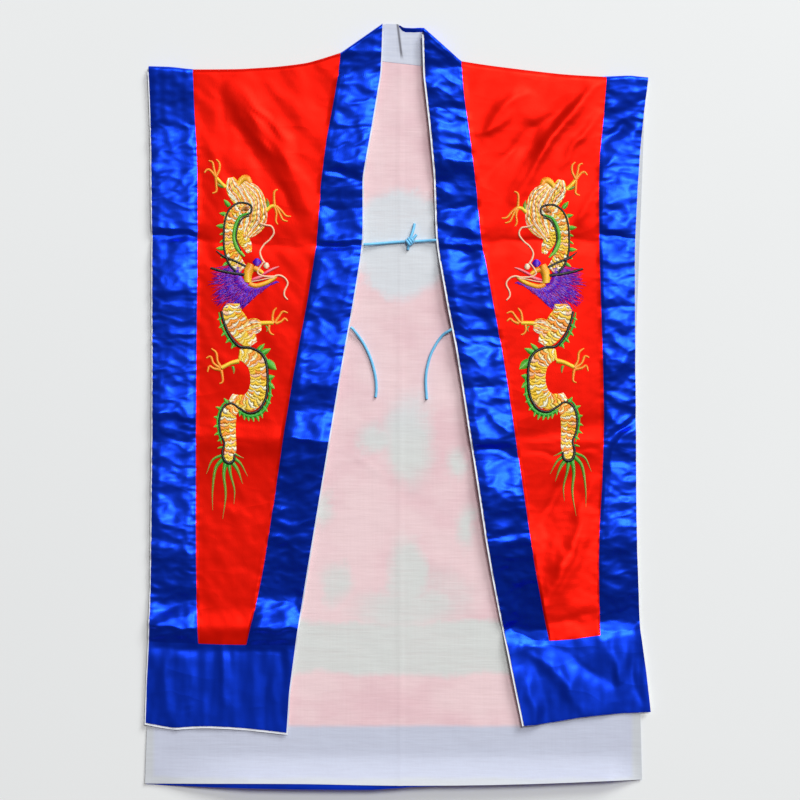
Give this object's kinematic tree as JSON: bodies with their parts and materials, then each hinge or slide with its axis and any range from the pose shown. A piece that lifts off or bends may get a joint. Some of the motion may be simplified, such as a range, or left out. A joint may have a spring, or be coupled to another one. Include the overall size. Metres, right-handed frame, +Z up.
{
  "type": "taoist priest robe",
  "caption": "Sleeveless open-fronted ceremonial robe of blue and red satin with a pale cotton lining, laid flat on its back.",
  "frame": {"origin": "middle of the laid-out robe, on the surface that it lies on", "axes": "+X towards the wearer's left, +Y from hem to neck, +Z up from the surface"},
  "size_m": [0.8089, 1.224, 0.0174],
  "materials": {
    "blue_satin": "glossy polyester satin",
    "red_satin": "glossy polyester satin",
    "lining_cotton": "thin matt cotton",
    "facing_cotton": "thin matt cotton",
    "tie_cord": "soft satin cord"
  },
  "bodies": {
    "root": {"right_side_band": "blue_satin", "right_red_panel": "red_satin", "right_collar_band": "blue_satin", "right_hem_band": "blue_satin", "right_front_lining": "lining_cotton", "left_side_band": "blue_satin", "left_red_panel": "red_satin", "left_collar_band": "blue_satin", "left_hem_band": "blue_satin", "left_front_lining": "lining_cotton", "back_red_panel": "red_satin", "back_right_side_band": "blue_satin", "back_left_side_band": "blue_satin", "back_hem_band": "blue_satin", "back_lining": "lining_cotton", "back_collar_band": "blue_satin", "back_collar_facing": "facing_cotton", "right_upper_tie": "tie_cord", "left_upper_tie": "tie_cord", "right_lower_tie": "tie_cord", "left_lower_tie": "tie_cord", "tie_knot": "tie_cord"}
  },
  "joints": []
}
